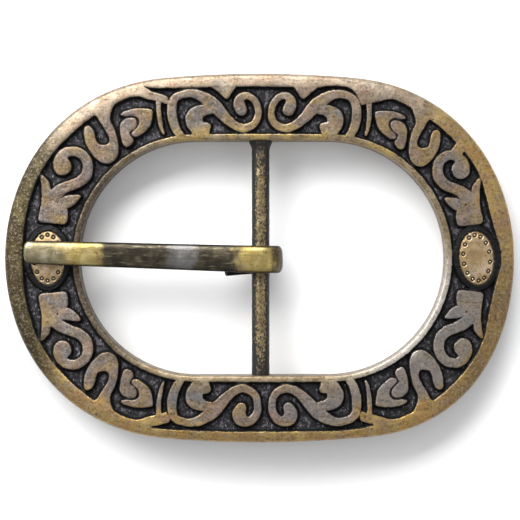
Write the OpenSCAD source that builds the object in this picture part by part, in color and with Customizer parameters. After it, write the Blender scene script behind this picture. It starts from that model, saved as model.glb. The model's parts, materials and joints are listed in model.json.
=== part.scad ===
// Oval belt buckle with a relief-cast frame, a round centre bar and one bent-strip prong.
// Origin: centre of the outline at the height of the lowest point of the back.
// +X runs along the belt, +Y across it, +Z out of the front face. The prong points to -X.
// All sizes are in millimetres.

/* [Frame] */
// length of the frame along the belt
frame_length = 88.2; // [80:0.1:106]
// height of the frame across the belt
frame_height = 63.3; // [52.7:0.05:76]
// how much the long sides bow outwards past the round ends
side_bow = 0.5; // [0.3:0.1:2]
// how far each corner swells past the plain arcs
corner_fill = 0.5; // [0:0.1:0.8]
// the same for the fullest corner, at the free end towards -Y
full_corner_fill = 1.4; // [0:0.1:1.6]
// how far the two ends curve back from the middle
frame_camber = 3.5; // [2.5:0.1:4.5]
// thickness from the back face to the front face
frame_thickness = 4.8; // [4:0.1:6]

/* [Window] */
// length of the opening along the belt
window_length = 63; // [54:0.2:74]
// height of the opening, which is the widest belt it takes
window_height = 40.2; // [34:0.2:48.4]
// how far the opening sits towards the free end
window_shift = 0.5; // [0:0.1:0.8]

/* [Relief] */
// depth of the recess round the scrolls
recess_depth = 1.1; // [0.6:0.1:1.3]
// plain rim between the recess and the outside edge
rim_width = 2.35; // [1.6:0.05:3]
// narrow lip between the recess and the opening
lip_width = 1.2; // [0.8:0.05:1.6]
// how much further towards the bar the scrolls on the prong side start
scroll_slip = 3.2; // [0:0.1:4]

/* [End bosses] */
// size of each oval boss across the belt
boss_height = 9.7; // [7:0.1:9.8]
// size of each oval boss along the belt
boss_width = 6.5; // [4.6:0.1:6.8]
// width of the groove round a boss
boss_groove = 0.3; // [0.2:0.05:0.6]
// width of the bead outside that groove
boss_bead = 0.3; // [0.2:0.05:0.5]
// angle the free end's boss is turned by
boss_lean = 5; // [0:1:8]

/* [Centre bar] */
// diameter of the bar
bar_diameter = 3.1; // [2.6:0.1:3.7]
// diameter of the turned-down tenon at each end
tenon_diameter = 2.4; // [2:0.1:2.4]
// depth of the blind socket in the frame
tenon_depth = 3; // [2:0.1:4]
// metal left between a socket and the floor of the recess
socket_cover = 0.4; // [0.2:0.05:0.6]
// how far the bar sits towards the free end
bar_shift = 0.2; // [0:0.1:1]
// diameter of the flare at the bar's +Y end
flare_diameter = 4.2; // [3.6:0.1:4.2]
// length of that flare
flare_length = 1.7; // [1:0.1:2.5]

/* [Prong] */
// width of the strip at the bar
prong_width = 4.7; // [3.6:0.1:5.2]
// width of the strip at the tip
tip_width = 4; // [3.2:0.1:4.6]
// thickness of the strip
prong_thickness = 2.25; // [1.8:0.05:2.3]
// radial clearance of the loop on the bar
loop_clearance = 0.1; // [0.05:0.01:0.1]
// gap between the strip and the front of the frame at rest
rest_gap = 0.25; // [0.2:0.05:0.5]
// gap between the tip and the wall of the rim
tip_gap = 0.5; // [0.3:0.05:1]
// how far the strip sags between the bar and the frame
prong_sag = 0.7; // [0.2:0.05:0.9]
// reach of the short tail past the bar, under the strip
tail_reach = 5.85; // [4.8:0.05:7]
// gap between the tail and the strip above it
tail_gap = 0.35; // [0.3:0.05:0.6]
// how far the tip leans towards +Y
tip_lean = 1.25; // [0:0.05:1.4]
// how far the tail's end leans towards -Y
tail_lean = 0.7; // [0:0.05:1]
// distance of the loop from the middle of the bar, towards -Y
loop_offset = 0.25; // [0:0.05:1]

/* [Hidden] */
$fn = 96;

brass = [0.55, 0.47, 0.33];
dark_brass = [0.33, 0.29, 0.22];
gold_brass = [0.62, 0.53, 0.32];
big_fn = 720;    // sides of the large cylinders that cut the arched faces

half_length = frame_length / 2;
half_height = frame_height / 2;
end_radius = half_height - side_bow;
end_centre = half_length - end_radius;
side_radius = (end_centre ^ 2 + half_height ^ 2 - end_radius ^ 2) / (2 * side_bow);
side_drop = side_radius - half_height;
side_angle = atan2(side_drop, end_centre);

window_radius = window_height / 2;
window_straight = (window_length - window_height) / 2;

back_radius = (half_length ^ 2 + frame_camber ^ 2) / (2 * frame_camber);
front_radius = back_radius + frame_thickness;
floor_radius = front_radius - recess_depth;
arch_centre = frame_camber - back_radius;
over = 1;         // how far cutting shapes run past what they cut

bar_radius = bar_diameter / 2;
bar_z = frame_camber + frame_thickness - recess_depth - socket_cover - tenon_diameter / 2;
bar_length = window_height;
flare_sink = 0.5;    // how far the root of the flare starts inside the bar
flare_root = bar_diameter - 2 * flare_sink;
loop_radius = bar_radius + loop_clearance;
strip_radius = loop_radius + prong_thickness / 2;

// ---- places in the band between the opening and the outside edge ----
// u runs from 0 beside the bar to 100 at the end of the buckle; v from 0 at the
// opening to 100 at the outside edge. side is 1 at the free end and -1 at the prong.

lip_v = 11;
rim_v = 80;

function straight(side) = window_straight + side * window_shift;
function straight_part(side) =
    let (flat_run = (straight(side) + end_centre) / 2,
         arc_run = (window_radius + end_radius) / 2 * PI / 2)
    100 * flat_run / (flat_run + arc_run);

function inner_point(u, side) =
    let (part = straight_part(side),
         turn = 90 * (100 - u) / (100 - part))
    u < part ? [straight(side) * u / part, window_radius]
             : [straight(side) + window_radius * cos(turn), window_radius * sin(turn)];

fill_skew = 0.8;    // below 1 moves the fullest spot of a corner towards the long side

function fill_of(side, updown) = side > 0 && updown < 0 ? full_corner_fill : corner_fill;

// the rim takes up the swell of the corners; the scrolls only follow what the full corner adds
function relief_fill(side, updown) = max(fill_of(side, updown) - corner_fill, 0);

function outer_point(u, side, fill) =
    let (part = straight_part(side),
         lean = 90 + (side_angle - 90) * u / part,
         share = max(u - part, 0) / (100 - part),
         turn = side_angle * (1 - share),
         radius = end_radius + fill * sin(180 * share ^ fill_skew) ^ 2)
    u < part ? [side_radius * cos(lean), side_radius * sin(lean) - side_drop]
             : [end_centre + radius * cos(turn), radius * sin(turn)];

function across(v, band) =
    v < lip_v ? lip_width * v / lip_v
    : v < rim_v ? lip_width + (band - lip_width - rim_width) * (v - lip_v) / (rim_v - lip_v)
    : band - rim_width + rim_width * (v - rim_v) / (100 - rim_v);

// the scrolls on the prong side start nearer the bar and close up towards the end
function slipped(u, side) = side > 0 ? u : u - scroll_slip * (1 - (u / 100) ^ 2);

function place(p, side, updown) =
    let (i = inner_point(p[0], side),
         o = outer_point(p[0], side, relief_fill(side, updown)),
         band = norm(o - i),
         q = i + (o - i) * across(p[1], band) / band)
    [side * q[0], updown * q[1]];

function place_scroll(p, side, updown) = place([slipped(p[0], side), p[1]], side, updown);

// ---- smooth curves through listed points ----

function blend(a, b, c, d, t) =
    (2 * b + (c - a) * t + (2 * a - 5 * b + 4 * c - d) * t * t + (3 * b - a - 3 * c + d) * t * t * t) / 2;

function open_curve(p, steps) =
    let (last = len(p) - 1)
    [for (i = [0 : last - 1], k = [0 : steps - 1])
        blend(p[max(i - 1, 0)], p[i], p[i + 1], p[min(i + 2, last)], k / steps), p[last]];

function closed_curve(p, steps) =
    let (n = len(p))
    [for (i = [0 : n - 1], k = [0 : steps - 1])
        blend(p[(i + n - 1) % n], p[i], p[(i + 1) % n], p[(i + 2) % n], k / steps)];

function unit(a) = a / norm(a);
function left_of(a) = [-a[1], a[0]];
function reversed(p) = [for (i = [len(p) - 1 : -1 : 0]) p[i]];

// ---- the scroll pattern of one quarter, as [u, v] or [u, v, half width] ----

scroll_head_top = [
    [8.7, 46, 0.95], [9.2, 54, 0.95], [9, 61.5, 0.74], [7.4, 67, 0.6], [5.7, 65, 0.56],
    [4.2, 57, 0.55], [3.6, 45, 0.55], [3.9, 33, 0.57], [5.5, 23.5, 0.62], [8.5, 19, 0.68]];
scroll_head_low = [
    [8.6, 49, 0.85], [9.1, 57, 1.1], [8.5, 65, 1.15], [6.7, 69, 0.8], [5, 65, 0.72],
    [3.9, 55, 0.64], [3.8, 44, 0.6], [4.3, 33, 0.6], [5.9, 24.5, 0.62], [8.7, 20, 0.68]];
scroll_stem = [
    [11.4, 24, 0.72], [13.5, 33, 0.84], [15.2, 44.5, 1], [17, 56.5, 1.12], [19.2, 67, 0.9],
    [21.6, 72.8, 0.7], [24.4, 72, 0.64], [26.8, 67.5, 0.68], [28.4, 60, 0.73],
    [29.8, 48, 0.78], [30.9, 34, 0.78], [31.3, 21, 0.7], [30.9, 9, 0.62]];
lobe = [
    [16.2, 46], [17.8, 53], [20.3, 54.5], [22.8, 51.5], [24.8, 45], [26.2, 36], [26.8, 27],
    [26.5, 18], [25.2, 8], [21.4, 8], [19.8, 17], [19.1, 24.5], [20.1, 28], [21.2, 29],
    [20.9, 35], [19.6, 39.5], [17.8, 41.5]];
spur = [[9.4, 84], [10.3, 76], [12.5, 63], [14.4, 73], [16.6, 86], [13, 88]];
blade = [
    [32, 68, 0.5], [33.2, 57, 0.38], [34.4, 46, 0.36], [35.4, 35, 0.34],
    [36.2, 26, 0.28], [36.6, 18, 0.16]];
leaf = [
    [35.7, 55.5], [38, 61], [40.8, 64.5], [43.6, 65.8], [45, 63.5], [44.1, 59.5],
    [42.2, 56.5], [41.2, 50.5], [41.7, 43.5], [43.4, 38], [46, 34.5], [46.6, 30],
    [45.4, 26.5], [43.2, 27.5], [40.8, 30.5], [38.8, 35.5], [37.3, 42.5], [36.1, 50]];
petal = [
    [42, 50], [43.3, 54.6], [45.6, 55.2], [47.5, 51], [48.8, 44], [50.2, 35],
    [51.4, 25.5], [51, 20.5], [49, 20.5], [47.6, 24.5], [47.2, 31.5], [46.6, 36.5],
    [44.4, 38.6], [42.8, 43]];
crook = [
    [43.8, 85], [45.8, 77], [47.4, 71], [48.7, 64], [49.4, 55], [50.3, 45], [51.8, 35],
    [53.8, 25], [56, 18], [58.4, 15.5], [60.5, 17.5], [61.7, 24.5], [61.6, 35],
    [60.8, 46], [59.6, 57], [57.9, 67], [56.1, 74.5], [54.9, 74.5], [54.5, 69],
    [55.2, 61], [56.5, 53.5], [57.1, 46.5], [56, 39.8], [54.5, 39], [53.1, 44],
    [52.2, 54], [51.6, 65], [50.9, 76], [50.4, 86]];
volute_eye = [69.7, 61, 1.6];
volute = [
    [69.2, 66.5, 1.1], [67.2, 69, 1], [65, 67, 0.87], [63.4, 58, 0.85],
    [63.5, 46, 0.87], [65.3, 35.5, 0.93], [68.6, 29, 0.97], [71.8, 31, 0.95],
    [74.2, 38, 0.93], [76.6, 46, 1], [79.4, 51, 1.15]];
tulip = [
    [74.8, 77.5], [75.3, 70], [76.2, 63.5], [78.2, 57], [77, 52], [77.5, 47],
    [79.4, 47.5], [81.2, 45], [81.8, 38], [82, 31], [83.5, 26.8], [85.6, 24.5],
    [87.7, 25.5], [88.2, 34], [88.4, 45], [88.6, 56], [87.8, 60], [85.3, 61],
    [82.8, 62.5], [80.3, 66], [77.8, 71], [76, 76]];
sepal = [
    [76.4, 20.5], [77.3, 31], [78.8, 39.5], [80.6, 43.5], [82.4, 38], [82.2, 30],
    [81, 25], [79.2, 21.5]];
bridge = [[61.7, 88], [62.1, 76], [63.2, 66], [66.5, 66], [65.4, 77], [64.9, 88]];

// edge of the recess along the rim: its start in each quarter, its middle, and its two ends
rim_start_free_top = [
    [-2, 79.5], [8, 80], [15, 80], [18.5, 83.5], [21.5, 85], [24.5, 83.3], [27, 77], [28.7, 68]];
rim_start_free_low = [
    [-2, 82.5], [4, 83.5], [12, 84.2], [20, 86], [25, 85.8], [29, 84.3], [32, 82.5],
    [30.2, 78], [28.8, 72]];
rim_start_prong_top = [
    [-2, 80], [11, 80.5], [18, 81], [23, 81.5], [27, 82.3], [30.5, 84.5], [32.8, 88],
    [33.9, 92], [32.6, 82.5], [30.8, 76.5], [29, 70]];
rim_start_prong_low = [
    [-2, 83], [4, 83.5], [12, 84], [20, 84.5], [26, 85], [32.4, 86], [29.8, 79.5], [28, 73]];
rim_middle = [
    [30.2, 60], [31.7, 63], [35, 71.5], [37.6, 80], [41, 81.5], [45, 80.5],
    [52, 80.5], [62, 80], [68, 80.5], [72, 80]];
prong_rim_v = 73.5;
rim_end_free = [[76, 78.5], [80, 75], [85, 73], [89, 73], [93, 75], [97, 78.5], [101, rim_v]];
rim_end_prong = [[76, 79.5], [80, 78], [86, 76.5], [92, 75], [96, 74], [101, prong_rim_v]];
lip_edge = [[-3, lip_v], [25, lip_v], [50, lip_v], [75, lip_v], [101, lip_v]];

scroll_steps = 2;    // straight pieces between two listed points of a curve
edge_steps = 2;
lip_steps = 5;
outline_steps = 26;  // straight pieces of the outside edge in each quarter
eye_sides = 16;
oval_sides = 28;
tip_steps = 6;
strip_steps = 5;
loop_steps = 30;

function rim_start(side, updown) =
    side > 0 ? (updown > 0 ? rim_start_free_top : rim_start_free_low)
             : (updown > 0 ? rim_start_prong_top : rim_start_prong_low);

function rim_end(side) = side > 0 ? rim_end_free : rim_end_prong;

// ---- flat shapes ----

function edge_part(side, updown, outwards) =
    [for (i = [0 : outline_steps - 1])
        let (share = i / outline_steps,
             p = outer_point(100 * (outwards ? share : 1 - share), side, fill_of(side, updown)))
        [side * p[0], updown * p[1]]];

module outline() {
    polygon(concat(
        edge_part(1, 1, true), edge_part(1, -1, false),
        edge_part(-1, -1, true), edge_part(-1, 1, false)));
}

module window(height) {
    translate([window_shift, 0, -over]) {
        for (side = [-1, 1])
            translate([side * window_straight, 0, 0])
                cylinder(r = window_radius, h = height + 2 * over);
        translate([-window_straight, -window_radius, 0])
            cube([2 * window_straight, 2 * window_radius, height + 2 * over]);
    }
}

module stroke(path, side, updown) {
    curve = open_curve(path, scroll_steps);
    last = len(curve) - 1;
    spots = [for (p = curve) place_scroll(p, side, updown)];
    ways = [for (i = [0 : last]) left_of(unit(spots[min(i + 1, last)] - spots[max(i - 1, 0)]))];
    for (i = [0 : last - 1])
        polygon([
            spots[i] + ways[i] * curve[i][2],
            spots[i + 1] + ways[i + 1] * curve[i + 1][2],
            spots[i + 1] - ways[i + 1] * curve[i + 1][2],
            spots[i] - ways[i] * curve[i][2]]);
}

module patch(corners, side, updown) {
    polygon([for (p = closed_curve(corners, scroll_steps)) place_scroll(p, side, updown)]);
}

module eye(spot, side, updown) {
    translate(place_scroll(spot, side, updown)) circle(r = spot[2], $fn = eye_sides);
}

module quarter_scrolls(side, updown) {
    scroll_head = updown > 0 ? scroll_head_top : scroll_head_low;
    eye(scroll_head[0], side, updown);
    eye(volute_eye, side, updown);
    for (path = [concat(scroll_head, scroll_stem), blade, volute])
        stroke(path, side, updown);
    for (corners = [lobe, leaf, petal, crook, tulip, sepal])
        patch(corners, side, updown);
    if (updown > 0)
        patch(spur, side, updown);
    if (side > 0 && updown > 0)
        patch(bridge, side, updown);
}

module quarter_recess(side, updown) {
    slipping = concat(rim_start(side, updown), rim_middle);
    fixed = concat([slipping[len(slipping) - 1]], rim_end(side));
    polygon([
        for (p = open_curve(slipping, edge_steps)) place_scroll(p, side, updown),
        for (p = open_curve(fixed, edge_steps)) place(p, side, updown),
        for (p = reversed(open_curve(lip_edge, lip_steps))) place(p, side, updown)]);
}

// centre of a boss, midway across the recess at the end of the buckle
function boss_spot(side) =
    (place([100, side > 0 ? rim_v : prong_rim_v], side, 1) + place([100, lip_v], side, 1)) / 2;

module oval(width, height) {
    scale([width / height, 1]) circle(d = height, $fn = oval_sides);
}

module boss_shape(side) {
    inside = 2 * boss_groove;
    outside = inside + 2 * boss_bead;
    translate(boss_spot(side)) rotate(side > 0 ? boss_lean : 0) {
        oval(boss_width, boss_height);
        difference() {
            oval(boss_width + outside, boss_height + outside);
            oval(boss_width + inside, boss_height + inside);
        }
    }
}

sliver = 0.07;    // recess slots narrower than twice this are closed up

module recess_shape() {
    offset(delta = sliver) offset(delta = -sliver) difference() {
        for (side = [-1, 1], updown = [-1, 1])
            quarter_recess(side, updown);
        for (side = [-1, 1], updown = [-1, 1])
            quarter_scrolls(side, updown);
        for (side = [-1, 1])
            boss_shape(side);
    }
}

// ---- solids ----

// a round cylinder lying along Y, with its crest over the middle of the buckle
module arch(radius) {
    translate([0, 0, arch_centre])
        rotate([90, 0, 0])
            cylinder(r = radius, h = 2 * frame_height, center = true, $fn = big_fn);
}

stock_height = frame_camber + frame_thickness + over;

module ring_stock() {
    difference() {
        linear_extrude(height = stock_height) outline();
        window(stock_height);
    }
}

module frame() {
    color(brass)
        difference() {
            intersection() {
                ring_stock();
                arch(front_radius);
            }
            arch(back_radius);
            difference() {
                linear_extrude(height = stock_height) recess_shape();
                arch(floor_radius);
            }
            translate([bar_shift, 0, bar_z])
                rotate([90, 0, 0])
                    cylinder(d = tenon_diameter, h = bar_length + 2 * tenon_depth, center = true);
        }
}

module centre_bar() {
    color(dark_brass)
        translate([bar_shift, 0, bar_z])
            rotate([-90, 0, 0]) {
                cylinder(d = bar_diameter, h = bar_length, center = true);
                cylinder(d = tenon_diameter, h = bar_length + 2 * tenon_depth, center = true);
                translate([0, 0, bar_length / 2 - flare_length])
                    cylinder(d1 = flare_root, d2 = flare_diameter, h = flare_length);
            }
}

// height of the frame's front face at a distance from the middle
function front_z(x) = arch_centre + sqrt(front_radius ^ 2 - x ^ 2);

tip_x = place([100, prong_rim_v], -1, 1)[0] + tip_gap;
lip_x = place([100, 0], -1, 1)[0];
rest_z = rest_gap + prong_thickness / 2;
crest_z = bar_z + strip_radius;
middle_x = (bar_shift + lip_x) / 2;
tail_thickness = 1.7;
tail_x = bar_shift - tail_reach;
tail_z = bar_z + loop_radius - tail_gap - tail_thickness / 2;

half_strip = prong_thickness / 2;
span_z = (crest_z + front_z(lip_x) + rest_z) / 2;    // straight between the crest and the lip
sag_start = 6;       // where the sag is nearly full, on the bar's side of the middle
sag_share = 0.85;    // how much of it is reached there
sag_middle = 2;      // where it is deepest, on the tip's side of the middle
bend_start = 2.5;    // length of the crest over the bar
landing = 4;         // where the strip levels out before the lip
tail_bend = 1.6;     // where the tail leaves the loop
tail_rise = 0.35;
tail_drift = 0.4;    // moves the middle of the tail towards its free end
tail_taper = 0.1;    // how much thinner than the strip the middle of the tail is
tail_narrowing = 0.2;
ease_in = 0.05;      // small lifts that keep the curve off the frame between its points

// middle line of the strip as [x, z, half thickness], from the crest over the bar to the tip
strip_line = [
    [bar_shift, crest_z, half_strip],
    [bar_shift - bend_start, crest_z - ease_in, half_strip],
    [middle_x + sag_start, span_z - prong_sag * sag_share, half_strip],
    [middle_x - sag_middle, span_z - prong_sag, half_strip],
    [lip_x + landing, front_z(lip_x) + rest_z, half_strip],
    [lip_x, front_z(lip_x) + rest_z + ease_in, half_strip],
    [(lip_x + tip_x) / 2, front_z((lip_x + tip_x) / 2) + rest_z + ease_in / 2, half_strip],
    [tip_x, front_z(tip_x) + rest_z, half_strip]];

// middle line of the tail, from under the bar to its free end
tail_line = [
    [bar_shift, bar_z - strip_radius, half_strip],
    [bar_shift - tail_bend, bar_z - strip_radius + tail_rise, half_strip],
    [(bar_shift + tail_x) / 2 - tail_drift, (bar_z - strip_radius + tail_z) / 2 + tail_taper,
     half_strip - tail_taper],
    [tail_x, tail_z, tail_thickness / 2]];

function edge_of(line, steps, sign) =
    let (c = open_curve(line, steps), last = len(c) - 1)
    [for (i = [0 : last])
        let (way = i == 0 ? [-1, 0]
                 : unit([c[min(i + 1, last)][0] - c[i - 1][0], c[min(i + 1, last)][1] - c[i - 1][1]]))
        [c[i][0], c[i][1]] - sign * left_of(way) * c[i][2]];

// the half turn round the free side of the bar
function half_loop(radius) =
    [for (i = [1 : loop_steps - 1])
        let (a = 90 - 180 * i / loop_steps)
        [bar_shift + radius * cos(a), bar_z + radius * sin(a)]];

strip_side = concat(
    edge_of(strip_line, strip_steps, 1),
    reversed(edge_of(strip_line, strip_steps, -1)));
tail_side = concat(
    edge_of(tail_line, strip_steps, -1),
    reversed(edge_of(tail_line, strip_steps, 1)));

loop_y = -loop_offset;
tip_y = loop_y + tip_lean;
tip_round = 1;

module side_shape(points) {
    rotate([90, 0, 0])
        linear_extrude(height = 4 * prong_width, center = true) polygon(points);
}

module plan_shape(points) {
    translate([0, 0, -over])
        linear_extrude(height = 3 * stock_height) polygon(points);
}

function corner(x, y, radius, from, to) =
    [for (i = [0 : tip_steps])
        let (a = from + (to - from) * i / tip_steps)
        [x + radius * cos(a), y + radius * sin(a)]];

strip_plan = concat(
    [[bar_shift + 2 * strip_radius, loop_y - prong_width / 2],
     [bar_shift + 2 * strip_radius, loop_y + prong_width / 2],
     [bar_shift - strip_radius, loop_y + prong_width / 2]],
    corner(tip_x + tip_round, tip_y + tip_width / 2 - tip_round, tip_round, 90, 180),
    corner(tip_x + tip_round, tip_y - tip_width / 2 + tip_round, tip_round, 180, 270),
    [[bar_shift - strip_radius, loop_y - prong_width / 2]]);

tail_plan = [
    [bar_shift + over, loop_y - prong_width / 2],
    [bar_shift + over, loop_y + prong_width / 2],
    [tail_x - over, loop_y - tail_lean + prong_width / 2 - tail_narrowing],
    [tail_x - over, loop_y - tail_lean - prong_width / 2 + tail_narrowing]];

module prong() {
    color(gold_brass)
        difference() {
            union() {
                intersection() {
                    side_shape(strip_side);
                    plan_shape(strip_plan);
                }
                intersection() {
                    side_shape(concat([[bar_shift, bar_z + loop_radius + prong_thickness]],
                                      half_loop(loop_radius + prong_thickness),
                                      [[bar_shift, bar_z - loop_radius - prong_thickness]]));
                    plan_shape(strip_plan);
                }
                intersection() {
                    side_shape(tail_side);
                    plan_shape(tail_plan);
                }
            }
            translate([bar_shift, 0, bar_z])
                rotate([90, 0, 0])
                    cylinder(r = loop_radius, h = 6 * prong_width, center = true);
        }
}

frame();
centre_bar();
prong();
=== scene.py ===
# Oval belt buckle: cast scroll frame, centre bar and bent-strip prong, on a pale floor.
import json
import math
import bmesh
import bpy
import numpy as np
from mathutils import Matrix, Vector, noise


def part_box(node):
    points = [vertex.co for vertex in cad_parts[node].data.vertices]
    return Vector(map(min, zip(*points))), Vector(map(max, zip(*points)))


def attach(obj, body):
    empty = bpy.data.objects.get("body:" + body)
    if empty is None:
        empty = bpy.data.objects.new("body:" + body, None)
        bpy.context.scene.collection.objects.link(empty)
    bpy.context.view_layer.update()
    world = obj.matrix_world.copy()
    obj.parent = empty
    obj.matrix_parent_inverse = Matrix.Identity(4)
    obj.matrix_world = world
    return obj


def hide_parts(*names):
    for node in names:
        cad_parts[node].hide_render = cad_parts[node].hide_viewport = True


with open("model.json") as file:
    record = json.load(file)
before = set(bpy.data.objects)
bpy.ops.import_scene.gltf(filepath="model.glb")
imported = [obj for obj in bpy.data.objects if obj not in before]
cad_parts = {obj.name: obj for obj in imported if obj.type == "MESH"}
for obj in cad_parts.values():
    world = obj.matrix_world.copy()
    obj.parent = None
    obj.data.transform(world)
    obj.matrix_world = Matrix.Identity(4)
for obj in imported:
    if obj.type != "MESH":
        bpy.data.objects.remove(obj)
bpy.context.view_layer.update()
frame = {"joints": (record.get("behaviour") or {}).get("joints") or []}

mm = 0.001
frameLow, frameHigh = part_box("frame")
hinge = [value / mm for value in frame["joints"][0]["pos_m"]]  # bar axis, in mm

# What the frame is made from, in mm. The overall size comes from the CAD node.
frameSizes = {
    "sideBow": 0.5,          # how far the long sides bow past the round ends
    "camber": 3.5,           # how far the ends curve back
    "windowLength": 63.0,
    "windowHeight": 40.2,
    "windowShift": 0.5,      # towards the free end
    "rimWidth": 2.35,
    "lipWidth": 1.2,
    "recessDepth": 1.1,
    "scrollSlip": 3.2,       # the prong side's scrolls start nearer the bar
    "rimCrown": 0.42,        # how much the rim falls towards its outside edge
    "rimRound": 0.7,         # radius of the outside edge
    "lipCrown": 0.22,        # how much the lip falls towards the window
    "lipRound": 0.25,
    "crownPower": 1.6,
    "wallDraft": 0.12,       # how far the window wall leans back at the front
    "wallMiddle": 2.0,       # height of the outside wall's middle row
    "backEdgeOut": 0.35,     # rounding of the back's outside edge and of its window edge
    "backEdgeIn": 0.32,
    "backBevel": 0.1,
    "columns": 1240,
    "rimRows": 6,
    "frontRows": 56,
    "lipRows": 4,
    "backRows": 5,
}
cornerFill = {(1, 1): 0.5, (-1, 1): 0.5, (-1, -1): 0.5, (1, -1): 1.4}  # swell of each corner, in mm
reliefFill = {(1, 1): 0, (-1, 1): 0, (-1, -1): 0, (1, -1): 0.9}        # how far the scrolls follow it

halfLength = (frameHigh.x - frameLow.x) / 2 / mm
halfHeight = (frameHigh.y - frameLow.y) / 2 / mm
endRadius = halfHeight - frameSizes["sideBow"]
endCentre = halfLength - endRadius
sideRadius = (endCentre ** 2 + halfHeight ** 2 - endRadius ** 2) / (2 * frameSizes["sideBow"])
sideDrop = sideRadius - halfHeight
sideAngle = math.atan2(sideDrop, endCentre)
windowRadius = frameSizes["windowHeight"] / 2
windowStraight = (frameSizes["windowLength"] - frameSizes["windowHeight"]) / 2
thickness = frameHigh.z / mm - frameSizes["camber"]
backRadius = (halfLength ** 2 + frameSizes["camber"] ** 2) / (2 * frameSizes["camber"])
archCentre = frameSizes["camber"] - backRadius
lipV, rimV = 11, 80         # where the recess starts and ends across the band, in percent
prongRimV = 73.5            # where it ends behind the prong's tip
cornerSkew = 0.8            # below 1 moves the fullest spot of a corner towards the long side


def archZ(x, height):
    # height above the curved back, at a distance x from the middle
    return archCentre + np.sqrt((backRadius + height) ** 2 - np.asarray(x) ** 2)


def bandEnds(u, side, fill):
    # inner and outer ends of the band at u percent of a quarter, first quadrant
    straight = windowStraight + side * frameSizes["windowShift"]
    flatRun = (straight + endCentre) / 2
    arcRun = (windowRadius + endRadius) / 2 * math.pi / 2
    part = 100 * flatRun / (flatRun + arcRun)
    u = np.asarray(u, float)
    along = u / part
    ahead = (100 - u) / (100 - part)
    innerTurn = math.pi / 2 * ahead
    outerTurn = sideAngle * ahead
    lean = math.pi / 2 + (sideAngle - math.pi / 2) * along
    flat = u < part
    swell = np.sin(math.pi * np.clip(1 - ahead, 0, 1) ** cornerSkew) ** 2
    radius = endRadius + fill * swell
    inner = np.stack([
        np.where(flat, straight * along, straight + windowRadius * np.cos(innerTurn)),
        np.where(flat, windowRadius, windowRadius * np.sin(innerTurn))], -1)
    outer = np.stack([
        np.where(flat, sideRadius * np.cos(lean), endCentre + radius * np.cos(outerTurn)),
        np.where(flat, sideRadius * np.sin(lean) - sideDrop, radius * np.sin(outerTurn))], -1)
    return inner, outer


def acrossBand(v, band):
    lip, rim = frameSizes["lipWidth"], frameSizes["rimWidth"]
    middle = lip + (band - lip - rim) * (v - lipV) / (rimV - lipV)
    outside = band - rim + rim * (v - rimV) / (100 - rimV)
    return np.where(v < lipV, lip * v / lipV, np.where(v < rimV, middle, outside))


def place(points, side, updown):
    points = np.asarray(points, float)
    inner, outer = bandEnds(points[:, 0], side, reliefFill[side, updown])
    band = np.linalg.norm(outer - inner, axis=1)
    reach = acrossBand(points[:, 1], band) / band
    return (inner + (outer - inner) * reach[:, None]) * (side, updown)


def slipped(points, side):
    points = np.array(points, float)
    if side < 0:
        points[:, 0] -= frameSizes["scrollSlip"] * (1 - (points[:, 0] / 100) ** 2)
    return points


def smoothCurve(points, steps, closed=False):
    # Catmull-Rom curve through listed points
    points = np.asarray(points, float)
    if closed:
        ring = np.vstack([points[-1:], points, points[:2]])
    else:
        ring = np.vstack([points[:1], points, points[-1:]])
    t = (np.arange(steps) / steps)[:, None]
    pieces = []
    for a, b, c, d in zip(ring, ring[1:], ring[2:], ring[3:]):
        pieces.append((2 * b + (c - a) * t + (2 * a - 5 * b + 4 * c - d) * t ** 2
                       + (3 * b - a - 3 * c + d) * t ** 3) / 2)
    if not closed:
        pieces.append(points[-1:])
    return np.vstack(pieces)


# One quarter of the scroll pattern, as (u, v) or (u, v, half width in mm)
scrollHead = {                                # by 1 for the top, -1 for the bottom
    1: [(8.7, 46, 0.95), (9.2, 54, 0.95), (9, 61.5, 0.74), (7.4, 67, 0.6), (5.7, 65, 0.56),
        (4.2, 57, 0.55), (3.6, 45, 0.55), (3.9, 33, 0.57), (5.5, 23.5, 0.62), (8.5, 19, 0.68)],
    -1: [(8.6, 49, 0.85), (9.1, 57, 1.1), (8.5, 65, 1.15), (6.7, 69, 0.8), (5, 65, 0.72),
         (3.9, 55, 0.64), (3.8, 44, 0.6), (4.3, 33, 0.6), (5.9, 24.5, 0.62), (8.7, 20, 0.68)]}
scrollStem = [
    (11.4, 24, 0.72), (13.5, 33, 0.84), (15.2, 44.5, 1), (17, 56.5, 1.12), (19.2, 67, 0.9),
    (21.6, 72.8, 0.7), (24.4, 72, 0.64), (26.8, 67.5, 0.68), (28.4, 60, 0.73),
    (29.8, 48, 0.78), (30.9, 34, 0.78), (31.3, 21, 0.7), (30.9, 9, 0.62)]
lobe = [
    (16.2, 46), (17.8, 53), (20.3, 54.5), (22.8, 51.5), (24.8, 45), (26.2, 36), (26.8, 27),
    (26.5, 18), (25.2, 8), (21.4, 8), (19.8, 17), (19.1, 24.5), (20.1, 28), (21.2, 29),
    (20.9, 35), (19.6, 39.5), (17.8, 41.5)]
spur = [(9.4, 84), (10.3, 76), (12.5, 63), (14.4, 73), (16.6, 86), (13, 88)]
blade = [
    (32, 68, 0.5), (33.2, 57, 0.38), (34.4, 46, 0.36), (35.4, 35, 0.34),
    (36.2, 26, 0.28), (36.6, 18, 0.16)]
leaf = [
    (35.7, 55.5), (38, 61), (40.8, 64.5), (43.6, 65.8), (45, 63.5), (44.1, 59.5),
    (42.2, 56.5), (41.2, 50.5), (41.7, 43.5), (43.4, 38), (46, 34.5), (46.6, 30),
    (45.4, 26.5), (43.2, 27.5), (40.8, 30.5), (38.8, 35.5), (37.3, 42.5), (36.1, 50)]
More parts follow.
